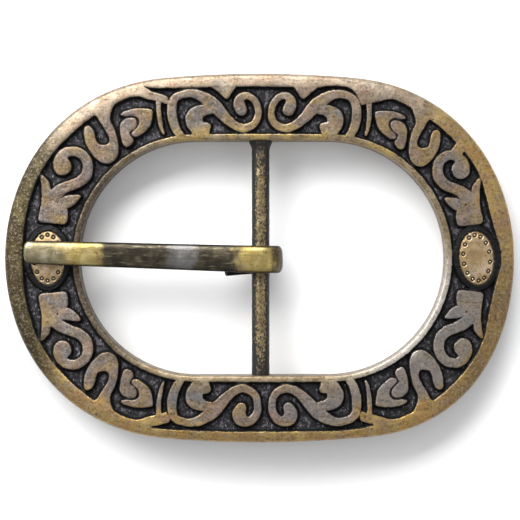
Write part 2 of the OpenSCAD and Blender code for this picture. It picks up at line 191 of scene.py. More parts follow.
petal = [
    (42, 50), (43.3, 54.6), (45.6, 55.2), (47.5, 51), (48.8, 44), (50.2, 35),
    (51.4, 25.5), (51, 20.5), (49, 20.5), (47.6, 24.5), (47.2, 31.5), (46.6, 36.5),
    (44.4, 38.6), (42.8, 43)]
crook = [
    (43.8, 85), (45.8, 77), (47.4, 71), (48.7, 64), (49.4, 55), (50.3, 45), (51.8, 35),
    (53.8, 25), (56, 18), (58.4, 15.5), (60.5, 17.5), (61.7, 24.5), (61.6, 35),
    (60.8, 46), (59.6, 57), (57.9, 67), (56.1, 74.5), (54.9, 74.5), (54.5, 69),
    (55.2, 61), (56.5, 53.5), (57.1, 46.5), (56, 39.8), (54.5, 39), (53.1, 44),
    (52.2, 54), (51.6, 65), (50.9, 76), (50.4, 86)]
voluteEye = (69.7, 61, 1.55)
volute = [
    (69.2, 66.5, 1.1), (67.2, 69, 0.95), (65, 67, 0.82), (63.4, 58, 0.8),
    (63.5, 46, 0.82), (65.3, 35.5, 0.88), (68.6, 29, 0.92), (71.8, 31, 0.9),
    (74.2, 38, 0.88), (76.6, 46, 0.97), (79.4, 51, 1.1)]
tulip = [
    (74.8, 77.5), (75.3, 70), (76.2, 63.5), (78.2, 57), (77, 52), (77.5, 47),
    (79.4, 47.5), (81.2, 45), (81.8, 38), (82, 31), (83.5, 26.8), (85.6, 24.5),
    (87.7, 25.5), (88.2, 34), (88.4, 45), (88.6, 56), (87.8, 60), (85.3, 61),
    (82.8, 62.5), (80.3, 66), (77.8, 71), (76, 76)]
sepal = [
    (76.4, 20.5), (77.3, 31), (78.8, 39.5), (80.6, 43.5), (82.4, 38), (82.2, 30),
    (81, 25), (79.2, 21.5)]
rimStart = {                                  # by side and by top or bottom
    (1, 1): [(-2, 79.5), (8, 80), (15, 80), (18.5, 83.5), (21.5, 85), (24.5, 83.3),
             (27, 77), (28.7, 68)],
    (-1, 1): [(-2, 80), (11, 80.5), (18, 81), (23, 81.5), (27, 82.3), (30.5, 84.5), (32.8, 88),
              (33.9, 92), (32.6, 82.5), (30.8, 76.5), (29, 70)],
    (1, -1): [(-2, 82.5), (4, 83.5), (12, 84.2), (20, 86), (25, 85.8), (29, 84.3), (32, 82.5),
              (30.2, 78), (28.8, 72)],
    (-1, -1): [(-2, 83), (4, 83.5), (12, 84), (20, 84.5), (26, 85), (32.4, 86), (29.8, 79.5),
               (28, 73)]}
bridge = [(61.7, 88), (62.1, 76), (63.2, 66), (66.5, 66), (65.4, 77), (64.9, 88)]  # top free quarter
rimMiddle = [
    (30.2, 60), (31.7, 63), (35, 71.5), (37.6, 80), (41, 81.5), (45, 80.5),
    (52, 80.5), (62, 80), (68, 80.5), (72, 80)]
rimEnd = {
    1: [(76, 78.5), (80, 75), (85, 73), (89, 73), (93, 75), (97, 78.5), (102, 80)],
    -1: [(76, 79.5), (80, 78), (86, 76.5), (92, 75), (96, 74), (102, 73.5)]}
quarters = [(side, updown) for side in (1, -1) for updown in (1, -1)]
relief = {
    "reach": 1.2,            # distances past this are not worked out
    "curveSteps": 5, "rimSteps": 4, "lipPoints": 60,
    "grow": 0.07,            # how much wider the raised metal is than the CAD outline
    "rimBlend": 2.4,         # how far the rim's finish fades into the scrolls
    "wallStart": -0.02, "wallWidth": 0.36,
    "floorLift": 0.04,       # how much shallower the recess is than in CAD
    "edgeRound": 0.05, "edgeRoundWidth": 0.25,
    # noise as scale, seed and amount in mm: the wander of the edges, the floor's grain, the tops' waves
    "edgeWander": ((0.9, 1.7, 0.07), (2.4, 6.2, 0.045)),
    "floorGrain": ((1.9, 3.1, 0.065), (4.2, 8.4, 0.039)),
    "topWaves": ((0.35, 5.7, 0.05), (1.3, 2.9, 0.022)),
}


def edgeDistance(points, starts, ends):
    # distance from each point to each straight piece, and how far along that is
    run = ends - starts
    rel = points[:, None, :] - starts[None]
    t = np.clip((rel * run).sum(2) / np.maximum((run ** 2).sum(1), 1e-12), 0, 1)
    gap = rel - t[..., None] * run
    return np.hypot(gap[..., 0], gap[..., 1]), t


def patchDepth(points, corners):
    # how deep each point is inside a closed outline; negative outside
    ends = np.roll(corners, -1, 0)
    gap = edgeDistance(points, corners, ends)[0].min(1)
    px, py = points[:, :1], points[:, 1:]
    above = (corners[:, 1] > py) != (ends[:, 1] > py)
    rise = ends[:, 1] - corners[:, 1]
    cross = corners[:, 0] + (ends[:, 0] - corners[:, 0]) * (py - corners[:, 1]) / np.where(rise == 0, 1, rise)
    inside = (above & (px < cross)).sum(1) % 2 == 1
    return np.where(inside, gap, -gap)


def strokeDepth(points, spots, widths):
    gap, t = edgeDistance(points, spots[:-1], spots[1:])
    return (widths[:-1] + (widths[1:] - widths[:-1]) * t - gap).max(1)


def nearBox(points, corners, margin):
    low, high = corners.min(0) - margin, corners.max(0) + margin
    return np.nonzero(((points > low) & (points < high)).all(1))[0]


def bossGap(points, side):
    # distance outside the oval boss at one end; negative inside
    away = bossAxes(side, points - bossCentre(side), -1)
    share = np.hypot(away[:, 0] / (boss["width"] / 2), away[:, 1] / (boss["height"] / 2))
    return (share - 1) * np.hypot(away[:, 0], away[:, 1]) / np.maximum(share, 1e-6)


boss = {
    "width": 6.5, "height": 9.7, "groove": 0.3, "bead": 0.3,
    "lean": 5,               # turn of the free end's boss, in degrees
    "rise": 0.1,             # crown of the dome over the frame's face
    "edgeDrop": 0.6,
    "dots": 14, "dotInset": 0.9, "dotRadius": 0.27, "dotWall": 0.13, "dotDepth": 0.18,
    "domePower": 2.6, "waveScale": 0.9, "wave": 0.03,
    "columns": 96, "rows": 130, "skirt": 0.9,
    # the casting round a boss: the pocket under it, the sunk bead and the black in its groove
    "pocketInset": 0.15, "pocketDepth": 0.95, "beadDrop": 0.22,
    "beadStart": 0.2, "beadEase": 0.2, "beadEnd": 0.1, "beadEndEase": 0.15, "blackGap": 0.12,
}


def bossCentre(side):
    ends = place([(100, rimV if side > 0 else prongRimV), (100, lipV)], side, 1)
    return ends.mean(0)


def bossAxes(side, points, way):
    # turns points from a boss's own axes to the frame's, or back with way -1
    turn = math.radians(boss["lean"] if side > 0 else 0) * way
    c, s = math.cos(turn), math.sin(turn)
    x, y = points[..., 0], points[..., 1]
    return np.stack([x * c - y * s, x * s + y * c], -1)


def reliefField(points):
    # positive in the recess and negative on raised metal: the distance to the nearest edge in mm.
    # The second field is the same for the plain recess band without its scrolls.
    steps, rimSteps, reach = relief["curveSteps"], relief["rimSteps"], relief["reach"]
    pastEnd, pastStart = 102, -4                  # the quarters overlap a little at both ends
    recess = np.full(len(points), -reach)
    raised = np.full(len(points), -reach)
    for side, updown in quarters:
        rimLine = np.vstack([
            slipped(smoothCurve(rimStart[side, updown] + rimMiddle, rimSteps), side),
            smoothCurve(rimMiddle[-1:] + rimEnd[side], rimSteps)])
        lipLine = [(u, lipV) for u in np.linspace(pastEnd, pastStart, relief["lipPoints"])]
        corners = place(np.vstack([rimLine, lipLine]), side, updown)
        near = nearBox(points, corners, reach)
        recess[near] = np.maximum(recess[near], patchDepth(points[near], corners))
        extra = {(1, 1): [spur, bridge], (-1, 1): [spur]}.get((side, updown), [])
        for corners in [lobe, leaf, petal, crook, tulip, sepal] + extra:
            outline = place(slipped(smoothCurve(corners, steps, closed=True), side), side, updown)
            near = nearBox(points, outline, reach)
            raised[near] = np.maximum(raised[near], patchDepth(points[near], outline))
        for path in (scrollHead[updown] + scrollStem, blade, volute):
            curve = smoothCurve(path, steps)
            spots = place(slipped(curve[:, :2], side), side, updown)
            near = nearBox(points, spots, reach + curve[:, 2].max())
            raised[near] = np.maximum(raised[near], strokeDepth(points[near], spots, curve[:, 2]))
        for u, v, radius in (scrollHead[updown][0], voluteEye):
            spot = place(slipped([(u, v)], side), side, updown)[0]
            raised = np.maximum(raised, radius - np.hypot(*(points - spot).T))
    for side in (1, -1):
        gap = bossGap(points, side)
        bead = boss["bead"] / 2 - np.abs(gap - boss["groove"] - boss["bead"] / 2)
        raised = np.maximum(raised, np.maximum(-gap, bead))
    return np.minimum(recess, -np.maximum(raised + relief["grow"], -reach)), recess


def ease(x):
    x = np.clip(x, 0, 1)
    return x * x * (3 - 2 * x)


def layeredNoise(points, layers):
    # noise over flat points, as a sum of layers given as scale, seed and amount
    total = np.zeros(len(points))
    for scale, seed, amount in layers:
        total += [amount * noise.noise(Vector((x * scale + seed, y * scale, 0))) for x, y in points]
    return total


def finishMesh(name, bm, body, slot, *replaced):
    mesh = bpy.data.meshes.new(name)
    bm.to_mesh(mesh)
    bm.free()
    mesh.shade_smooth()
    piece = bpy.data.objects.new(name, mesh)
    bpy.context.scene.collection.objects.link(piece)
    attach(piece, body)
    if replaced:
        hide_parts(*replaced)
    return piece


def gridArrays(bm, columns, rows):
    # column and row number of every vertex of a fresh unit grid
    co = np.array([v.co[:2] for v in bm.verts])
    column = np.rint((co[:, 0] + 1) / 2 * columns).astype(int)
    row = np.rint((co[:, 1] + 1) / 2 * rows).astype(int)
    return column, row


# The cast frame: a grid bent round the ring and closed round the section
def sectionRows(band):
    # distance from the window edge and height over the back, row by row round the section
    s = frameSizes
    outer, inner, bevel = s["backEdgeOut"], s["backEdgeIn"], s["backBevel"]
    rows = [(band - outer, 0), (band - bevel, bevel), (band, outer), (band, s["wallMiddle"])]
    kinds = ["wall"] * len(rows)
    for i in range(s["rimRows"]):
        turn = math.radians(90 * i / s["rimRows"])
        rows.append((band - s["rimRound"] * (1 - math.cos(turn)), thickness))
        kinds.append("front")
    start, stop = band - s["rimRound"], s["wallDraft"] + s["lipRound"]
    for i in range(s["frontRows"]):
        rows.append((start + (stop - start) * i / (s["frontRows"] - 1), thickness))
        kinds.append("front")
    for i in range(s["lipRows"]):
        turn = math.radians(90 * (s["lipRows"] - 1 - i) / s["lipRows"])
        rows.append((s["wallDraft"] + s["lipRound"] * (1 - math.cos(turn)), thickness))
        kinds.append("front")
    inside = [(s["wallDraft"] * 0.6, thickness * 0.6), (s["wallDraft"] * 0.15, thickness * 0.25),
              (0, 0.3), (bevel, 0.08), (inner, 0)]
    rows += inside
    kinds += ["wall"] * len(inside)
    for i in range(1, s["backRows"]):
        rows.append((inner + (band - inner - outer) * i / s["backRows"], 0))
        kinds.append("back")
    rows.append(rows[0])
    kinds.append("wall")
    return rows, kinds


def roundedDrop(edge, radius):
    # how far a rounded edge has dropped at a distance in from it
    inside = np.clip(radius - edge, 0, radius)
    return radius - np.sqrt(np.maximum(radius ** 2 - inside ** 2, 0))


def frontDrop(w, band):
    # how far the front face has fallen at a distance w from the window edge
    s = frameSizes
    edge = band - w
    return (roundedDrop(edge, s["rimRound"]) + roundedDrop(w - s["wallDraft"], s["lipRound"])
            + s["rimCrown"] * max(0, 1 - edge / s["rimWidth"]) ** s["crownPower"]
            + s["lipCrown"] * max(0, 1 - w / s["lipWidth"]) ** s["crownPower"])


def reliefDrop(points, field):
    # how far the front has sunk at each point: the recess with its grain, and the waves of the tops
    r = relief
    sunk = ease((field - r["wallStart"]) / r["wallWidth"])
    rounded = r["edgeRound"] * np.where(field < 0, ease(1 + field / r["edgeRoundWidth"]), 1)
    drop = (frameSizes["recessDepth"] - r["floorLift"]) * sunk + rounded * (1 - sunk)
    drop += sunk * layeredNoise(points, r["floorGrain"]) + (1 - sunk) * layeredNoise(points, r["topWaves"])
    tint = field.copy()
    for side in (1, -1):
        gap = bossGap(points, side)
        ringEnd = boss["groove"] + boss["bead"] + boss["beadEnd"]
        # round each boss the groove and bead take the recess colour at a wall's foot, its near-black painted
        # shade
        tint = np.where(gap < ringEnd, np.maximum(tint, boss["blackGap"]), tint)
        drop = np.where(gap < -boss["pocketInset"], boss["pocketDepth"], drop)
        onBead = ease((ringEnd - gap) / boss["beadEndEase"])
        onBead *= ease((gap - boss["beadStart"]) / boss["beadEase"])
        drop += boss["beadDrop"] * onBead * (1 - sunk)
    return drop, tint


def makeFrame():
    columns = frameSizes["columns"]
    rowKinds = sectionRows(10)[1]                 # the kinds are the same for any band
    rowCount = len(rowKinds) - 1
    bm = bmesh.new()
    bmesh.ops.create_grid(bm, x_segments=columns, y_segments=rowCount, size=1)
    column, row = gridArrays(bm, columns, rowCount)

    # u runs out and back through the four quarters
    lap = 400 * np.arange(columns + 1) / columns
    flat = np.zeros((rowCount + 1, columns + 1, 2))
    placeAll = np.zeros((rowCount + 1, columns + 1))
    height = np.zeros((rowCount + 1, columns + 1))
    for c, at in enumerate(lap):
        quarter = min(int(at // 100), 3)
        side, updown = ((1, 1), (1, -1), (-1, -1), (-1, 1))[quarter]
        u = at - 100 * quarter
        u = u if quarter % 2 == 0 else 100 - u
        inner, outer = (p[0] for p in bandEnds([u], side, cornerFill[side, updown]))
        band = np.linalg.norm(outer - inner)
        for r, (w, h) in enumerate(sectionRows(band)[0]):
            placeAll[r, c] = w / band
            flat[r, c] = (inner + (outer - inner) * w / band) * (side, updown)
            height[r, c] = h
            if rowKinds[r] == "front":
                height[r, c] -= frontDrop(w, band)
    front = np.array([k == "front" for k in rowKinds])

    points = flat[front].reshape(-1, 2)
    field, recess = reliefField(points)
    field += layeredNoise(points, relief["edgeWander"])
    drop, tint = reliefDrop(points, field)
    shape = (int(front.sum()), columns + 1)
    height[front] -= drop.reshape(shape)

    # what the finish reads at every vertex
    painted = {"edgeGap": np.full(height.shape, -1.0), "plainRim": np.ones(height.shape),
               "bandPlace": placeAll, "faceKind": np.zeros(height.shape)}
    painted["edgeGap"][front] = tint.reshape(shape)
    painted["plainRim"][front] = ease(1 - recess.reshape(shape) / relief["rimBlend"])
    for r, kind in enumerate(rowKinds):
        painted["faceKind"][r] = {"front": 0, "wall": 0.5, "back": 1}[kind]
    layers = [(bm.verts.layers.float.new(name), values[row, column]) for name, values in painted.items()]

    xs, ys = flat[row, column].T
    zs = archZ(xs, height[row, column])
    for i, v in enumerate(bm.verts):
        v.co = (xs[i] * mm, ys[i] * mm, zs[i] * mm)
        for layer, values in layers:
            v[layer] = values[i]
    bmesh.ops.remove_doubles(bm, verts=bm.verts, dist=0.002 * mm)
    bmesh.ops.recalc_face_normals(bm, faces=bm.faces)
    return finishMesh("castFrame", bm, "frame", "frame_brass", "frame")


# The two oval bosses, domed and punched with ring dots
def makeBoss(name, side):
    b = boss
    bm = bmesh.new()
    bmesh.ops.create_grid(bm, x_segments=b["columns"], y_segments=b["rows"], size=1)
    rim = [e for e in bm.edges if e.is_boundary]
    centre = bossCentre(side)
    dotLayer = bm.verts.layers.float.new("dots")
    shareLayer = bm.verts.layers.float.new("edgeShare")
    turns = [2 * math.pi * (i + 0.5) / b["dots"] for i in range(b["dots"])]
    dotX, dotY = b["width"] / 2 - b["dotInset"], b["height"] / 2 - b["dotInset"]
    dots = [(dotX * math.cos(t), dotY * math.sin(t)) for t in turns]
    for v in bm.verts:
        gx, gy = v.co.x, v.co.y
        ex, ey = gx * math.sqrt(1 - gy * gy / 2), gy * math.sqrt(1 - gx * gx / 2)
        share = min(1, math.hypot(ex, ey))
        x, y = ex * b["width"] / 2, ey * b["height"] / 2
        dome = math.sqrt(1 - share ** b["domePower"])
        h = thickness - b["edgeDrop"] + (b["edgeDrop"] + b["rise"]) * dome
        dark = 0
        for dx, dy in dots:
            ring = math.exp(-(((math.hypot(x - dx, y - dy) - b["dotRadius"]) / b["dotWall"]) ** 2))
            dark = max(dark, ring)
        h -= b["dotDepth"] * dark
        h += b["wave"] * noise.noise(Vector((x * b["waveScale"], y * b["waveScale"], side)))
        v[dotLayer] = dark
        v[shareLayer] = share
        x, y = centre + bossAxes(side, np.array([x, y]), 1)
        v.co = (x * mm, y * mm, float(archZ(x, h)) * mm)
    skirt = bmesh.ops.extrude_edge_only(bm, edges=rim)["geom"]
    low = [g for g in skirt if isinstance(g, bmesh.types.BMVert)]
    bmesh.ops.translate(bm, verts=low, vec=(0, 0, -b["skirt"] * mm))
    bmesh.ops.holes_fill(bm, edges=[e for e in bm.edges if e.is_boundary], sides=0)
    bmesh.ops.recalc_face_normals(bm, faces=bm.faces)
    return finishMesh(name, bm, "frame", "frame_brass")


# The round bar, with its one flared end
bar = {
    "diameter": 3.1, "flareTop": 4.1, "flareLength": 1.7, "intoWall": 1.4,
    "flarePower": 1.5,
    "rings": 150, "sides": 48,
    "core": 1.2,             # nothing nearer the axis is pitted
    "worn": 0.03, "pits": ((1.7, 0.03), (4.1, 0.02)),
}


def makeBar():
    b = bar
    end = windowRadius + b["intoWall"]
    bm = bmesh.new()
    profile = []
    for i in range(b["rings"] + 1):
        y = -end + 2 * end * i / b["rings"]
        lift = ease(max(0, (y - windowRadius + b["flareLength"]) / b["flareLength"]))
        r = b["diameter"] / 2 + (b["flareTop"] - b["diameter"]) / 2 * float(lift) ** b["flarePower"]
        profile.append(bm.verts.new((hinge[0] * mm, y * mm, (hinge[2] + r) * mm)))
    profile.insert(0, bm.verts.new((hinge[0] * mm, -end * mm, hinge[2] * mm)))
    profile.append(bm.verts.new((hinge[0] * mm, end * mm, hinge[2] * mm)))
    edges = [bm.edges.new(pair) for pair in zip(profile, profile[1:])]
    axis = Vector((hinge[0], 0, hinge[2])) * mm
    bmesh.ops.spin(bm, geom=profile + edges, cent=axis, axis=(0, 1, 0), angle=2 * math.pi,
                   steps=b["sides"], use_merge=True, dvec=(0, 0, 0))
    bmesh.ops.remove_doubles(bm, verts=bm.verts, dist=0.002 * mm)
    for v in bm.verts:
        out = Vector((v.co.x - axis.x, 0, v.co.z - axis.z))
        if out.length > b["core"] * mm:
            pit = sum(noise.noise(v.co / mm * scale) * amount for scale, amount in b["pits"])
            v.co -= out.normalized() * (b["worn"] + pit) * mm
    bmesh.ops.recalc_face_normals(bm, faces=bm.faces)
    return finishMesh("centreBar", bm, "frame", "bar_brass", "centre_bar")


# The prong: one strip from the tail, round the bar and out to the tip
prong = {
    "thickness": 2.25, "loopClearance": 0.1, "width": 4.7, "tipWidth": 4.0,
    "restGap": 0.25, "tipGap": 0.5, "sag": 0.7,
    "tailReach": 5.85, "tailGap": 0.35, "tailThickness": 1.7,
    "tipLean": 1.25, "tailLean": 0.7, "loopOffset": 0.25,
    "crest": 2.5, "sagStart": 6, "sagShare": 0.85, "sagMiddle": 2, "landing": 4, "easeIn": 0.05,
    "tailBend": 1.6, "tailRise": 0.35, "tailDrift": 0.4, "tailTaper": 0.1, "tailNarrowing": 0.2,
    "tailSteps": 9, "loopSteps": 40, "stripSteps": 14, "aroundSteps": 36,
    "tipRound": 1.0, "tipStart": 0.95,
    "tipStations": (0.9, 0.75, 0.5, 0.3, 0.15, 0.06, 0),     # how far behind the tip
    "tipThinning": 0.63, "tipThinLength": 0.5,
    "sidePower": 0.38,       # these four shape the strip's section
    "facePower": 0.62, "insidePower": 0.34, "crown": 0.28,
    "waves": 0.035, "waveStretch": 0.35, "worn": 0.05,
}


def prongStations():
    # middle line of the strip: x, z, y, half width, half thickness
    p = prong
    barX, barZ = hinge[0], hinge[2]
    half = p["thickness"] / 2
    stripR = bar["diameter"] / 2 + p["loopClearance"] + half
    lipX = float(place([(100, 0)], -1, 1)[0][0])
    tipX = float(place([(100, prongRimV)], -1, 1)[0][0]) + p["tipGap"]
    restZ = p["restGap"] + half
    faceZ = lambda x: float(archZ(x, thickness))
    middleX = (barX + lipX) / 2
    sagZ = (barZ + stripR + faceZ(lipX) + restZ) / 2
    tailX, tailHalf = barX - p["tailReach"], p["tailThickness"] / 2
    tailZ = barZ + stripR - half - p["tailGap"] - tailHalf
    strip = [
        (barX, barZ + stripR, half), (barX - p["crest"], barZ + stripR - p["easeIn"], half),
        (middleX + p["sagStart"], sagZ - p["sag"] * p["sagShare"], half),
        (middleX - p["sagMiddle"], sagZ - p["sag"], half),
        (lipX + p["landing"], faceZ(lipX) + restZ, half), (lipX, faceZ(lipX) + restZ + p["easeIn"], half),
        ((lipX + tipX) / 2, faceZ((lipX + tipX) / 2) + restZ + p["easeIn"] / 2, half),
        (tipX, faceZ(tipX) + restZ, half)]
    tail = [
        (tailX, tailZ, tailHalf),
        ((barX + tailX) / 2 - p["tailDrift"], (barZ - stripR + tailZ) / 2 + p["tailTaper"],
         half - p["tailTaper"]),
        (barX - p["tailBend"], barZ - stripR + p["tailRise"], half), (barX, barZ - stripR, half)]
    turns = np.radians(np.linspace(-90, 90, p["loopSteps"] + 1)[1:-1])
    loop = np.c_[barX + stripR * np.cos(turns), barZ + stripR * np.sin(turns), np.full(len(turns), half)]
    line = np.vstack([smoothCurve(tail, p["tailSteps"]), loop, smoothCurve(strip, p["stripSteps"])])
    tailEnd = p["tailSteps"] * (len(tail) - 1)
    stripStart = tailEnd + 1 + len(loop)
    y = np.full(len(line), -p["loopOffset"])
    width = np.full(len(line), p["width"] / 2)
    for i, (x, z, _) in enumerate(line):
        if i <= tailEnd:
            share = (barX - x) / p["tailReach"]
            y[i] -= p["tailLean"] * share
            width[i] -= p["tailNarrowing"] * share
        elif i >= stripStart:
            share = (barX - x) / (barX - tipX)
            y[i] += p["tipLean"] * share
            width[i] -= (p["width"] - p["tipWidth"]) / 2 * share
    return line, y, width, tipX


def makeProng():
    p = prong
    line, ys, widths, tipX = prongStations()
    endX, endZ, endHalf = line[-1]
    way = (line[-1] - line[-2])[:2]
    way /= np.linalg.norm(way)
    stations = [(*spot, y, width) for spot, y, width in zip(line, ys, widths)
                if spot[0] > tipX + p["tipStart"]]
    for back in p["tipStations"]:                 # close together, so that the tip is round
        thinner = p["tipThinning"] * float(roundedDrop(back, p["tipThinLength"]))
        narrower = float(roundedDrop(back, p["tipRound"]))
        stations.append((endX - way[0] * back, endZ - way[1] * back, endHalf - thinner,
                         ys[-1], widths[-1] - narrower))
    count, around = len(stations), p["aroundSteps"]
    bm = bmesh.new()
    bmesh.ops.create_grid(bm, x_segments=count - 1, y_segments=around, size=1)
    column, row = gridArrays(bm, count - 1, around)
    centre = np.array([(s[0], s[1]) for s in stations])
    ahead = np.gradient(centre, axis=0)
    ahead /= np.linalg.norm(ahead, axis=1)[:, None]
    outward = np.c_[ahead[:, 1], -ahead[:, 0]]    # away from the bar all the way round
    sideLayer = bm.verts.layers.float.new("acrossPlace")
    for i, v in enumerate(bm.verts):
        c, turn = column[i], 2 * math.pi * (row[i] % around) / around
        x, z, half, y, width = stations[c]
        ca, sa = math.cos(turn), math.sin(turn)
        side = math.copysign(abs(ca) ** p["sidePower"], ca)
        if sa >= 0:                               # outer face: crowned
            rise = sa ** p["facePower"] * half - p["crown"] * half * abs(side) ** 3 * sa - p["worn"]
            spot = Vector((x * p["waveStretch"], y, z * p["waveStretch"] + side))
            rise += noise.noise(spot) * p["waves"] if sa > 0.3 else 0
        else:                                     # inner face: nearly flat
            rise = -abs(sa) ** p["insidePower"] * half
        v[sideLayer] = side
        v.co = ((x + outward[c, 0] * rise) * mm, (y + side * width) * mm, (z + outward[c, 1] * rise) * mm)
    bmesh.ops.remove_doubles(bm, verts=bm.verts, dist=0.002 * mm)
    bmesh.ops.holes_fill(bm, edges=[e for e in bm.edges if e.is_boundary], sides=0)
    bmesh.ops.recalc_face_normals(bm, faces=bm.faces)
    return finishMesh("prongStrip", bm, "prong", "prong_brass", "prong")


castFrame = makeFrame()
print("frame cast with its scrolls:", len(castFrame.data.polygons), "faces")
bosses = [makeBoss("bossFreeEnd", 1), makeBoss("bossProngEnd", -1)]
print("two bosses set")
centreBar = makeBar()
print("bar turned")
prongStrip = makeProng()
print("prong bent round the bar")


# Shared surface effects. Each is a node group of colours, masks and heights.
def newGroup(name, inputs, outputs):
    group = bpy.data.node_groups.new(name, "ShaderNodeTree")
    for label, kind, value in inputs:
        socket = group.interface.new_socket(label, in_out="INPUT", socket_type="NodeSocket" + kind)
        if value is not None:
            socket.default_value = value
    for label, kind in outputs:
        group.interface.new_socket(label, in_out="OUTPUT", socket_type="NodeSocket" + kind)
    return group, group.nodes.new("NodeGroupInput"), group.nodes.new("NodeGroupOutput")


def addNode(tree, kind, **values):
    node = tree.nodes.new("ShaderNode" + kind)
    for key, value in values.items():
        if hasattr(node, key):
            setattr(node, key, value)
        else:
            node.inputs[key.replace("_", " ")].default_value = value
    return node


def noiseNode(tree, vector, scale, detail=3, roughness=0.55, distortion=0):
    node = addNode(tree, "TexNoise")
    node.inputs["Detail"].default_value = detail
    node.inputs["Roughness"].default_value = roughness
    node.inputs["Distortion"].default_value = distortion
    connect(tree, vector, node.inputs["Vector"])
    connect(tree, scale, node.inputs["Scale"])
    return node.outputs["Fac"]


def connect(tree, source, target):
    if isinstance(source, bpy.types.NodeSocket):
        tree.links.new(source, target)
    else:
        target.default_value = source


def mathNode(tree, operation, a, b=0.0):
    node = addNode(tree, "Math", operation=operation)
    for socket, value in zip(node.inputs, (a, b)):
        connect(tree, value, socket)
    return node.outputs[0]


def times(tree, a, b):
    return mathNode(tree, "MULTIPLY", a, b)


def plus(tree, a, b):
    return mathNode(tree, "ADD", a, b)


def minus(tree, a, b):
    return mathNode(tree, "SUBTRACT", a, b)


def larger(tree, a, b):
    return mathNode(tree, "MAXIMUM", a, b)


def spread(tree, value, low, high, outLow=0.0, outHigh=1.0):
    node = addNode(tree, "MapRange", interpolation_type="SMOOTHSTEP")
    connect(tree, value, node.inputs["Value"])
    for label, number in (("From Min", low), ("From Max", high), ("To Min", outLow), ("To Max", outHigh)):
        node.inputs[label].default_value = number
    return node.outputs["Result"]


def mixColour(tree, share, a, b):
    node = addNode(tree, "Mix", data_type="RGBA")
    connect(tree, share, node.inputs[0])
    connect(tree, a, node.inputs[6])
    connect(tree, b, node.inputs[7])
    return node.outputs[2]


def mixValue(tree, share, a, b):
    node = addNode(tree, "Mix", data_type="FLOAT")
    connect(tree, share, node.inputs[0])
    connect(tree, a, node.inputs[2])
    connect(tree, b, node.inputs[3])
    return node.outputs[0]


def stretch(tree, vector, scale):
    node = addNode(tree, "Mapping")
    connect(tree, vector, node.inputs["Vector"])
    node.inputs["Scale"].default_value = scale
    return node.outputs["Vector"]


def makeBrassTone():
    # three brass tones in soft patches, with finer mottling over them
    group, given, out = newGroup("brassTone", [
        ("Vector", "Vector", None), ("Patch Scale", "Float", 120), ("Mottle Scale", "Float", 700),
        ("Light", "Color", (0.6, 0.5, 0.36, 1)), ("Middle", "Color", (0.4, 0.32, 0.2, 1)),
        ("Dark", "Color", (0.15, 0.12, 0.08, 1))], [("Color", "Color")])
    patch = noiseNode(group, given.outputs["Vector"], given.outputs["Patch Scale"], 3, 0.55, 0.3)
    mottle = noiseNode(group, given.outputs["Vector"], given.outputs["Mottle Scale"], 4, 0.65)
    lightShare = spread(group, patch, 0.42, 0.66)
    darkShare = spread(group, mottle, 0.56, 0.74)
    tone = mixColour(group, lightShare, given.outputs["Middle"], given.outputs["Light"])
    tone = mixColour(group, times(group, darkShare, 0.55), tone, given.outputs["Dark"])
    group.links.new(tone, out.inputs["Color"])
    return group


def makeBrushMarks():
    # fine scratches along one direction and small dents
    group, given, out = newGroup("brushMarks", [
        ("Vector", "Vector", None), ("Line Scale", "Float", 900), ("Dent Scale", "Float", 500)],
        [("Height", "Float"), ("Rough", "Float")])
    along = stretch(group, given.outputs["Vector"], (1, 7, 1))
    across = stretch(group, given.outputs["Vector"], (6, 1, 1))
    lines = noiseNode(group, along, given.outputs["Line Scale"], 3, 0.6)
    cross = noiseNode(group, across, given.outputs["Line Scale"], 2, 0.6)
    dents = noiseNode(group, given.outputs["Vector"], given.outputs["Dent Scale"], 2, 0.5)
    both = plus(group, times(group, lines, 0.5), times(group, cross, 0.3))
    height = plus(group, both, times(group, dents, 0.6))
    group.links.new(height, out.inputs["Height"])
    group.links.new(spread(group, dents, 0.3, 0.7, -0.06, 0.1), out.inputs["Rough"])
    return group


def makeDarkFlecks():
    # specks where the black finish stays on or is rubbed off
    group, given, out = newGroup("darkFlecks", [
        ("Vector", "Vector", None), ("Scale", "Float", 1500), ("Amount", "Float", 0.5)],
        [("Mask", "Float")])
    fine = noiseNode(group, given.outputs["Vector"], given.outputs["Scale"], 3, 0.7)
    edge = minus(group, 1.0, given.outputs["Amount"])
    node = addNode(group, "MapRange")
    group.links.new(fine, node.inputs["Value"])
    group.links.new(minus(group, edge, 0.06), node.inputs["From Min"])
    group.links.new(plus(group, edge, 0.06), node.inputs["From Max"])
    group.links.new(node.outputs["Result"], out.inputs["Mask"])
    return group


brassTone = makeBrassTone()
brushMarks = makeBrushMarks()
darkFlecks = makeDarkFlecks()


def addBump(tree, shader, height, strength, distance):
    # raises the surface by a height; strength is a share and distance is in metres
    bump = addNode(tree, "Bump")
    bump.inputs["Strength"].default_value = strength
    bump.inputs["Distance"].default_value = distance
    tree.links.new(height, bump.inputs["Height"])
    tree.links.new(bump.outputs["Normal"], shader.inputs["Normal"])


def useGroup(tree, group, **values):
    node = tree.nodes.new("ShaderNodeGroup")
    node.node_tree = group
    for label, value in values.items():
        connect(tree, value, node.inputs[label.replace("_", " ")])
    return node


def brassOf(tree, vector, look, tones, patchScale, mottleScale):
    # the brass pattern in three named tones: light, middle and dark
    node = useGroup(tree, brassTone, Vector=vector, Patch_Scale=patchScale, Mottle_Scale=mottleScale)
    for label, name in zip(("Light", "Middle", "Dark"), tones):
        node.inputs[label].default_value = look[name]
    return node.outputs["Color"]


def startMaterial(name):
    material = bpy.data.materials.new(name)
    material.use_nodes = True
    tree = material.node_tree
    shader = tree.nodes["Principled BSDF"]
    vector = tree.nodes.new("ShaderNodeTexCoord").outputs["Object"]
    return material, tree, shader, vector


def attributeOf(tree, name):
    node = addNode(tree, "Attribute", attribute_name=name)
    return node.outputs["Fac"]


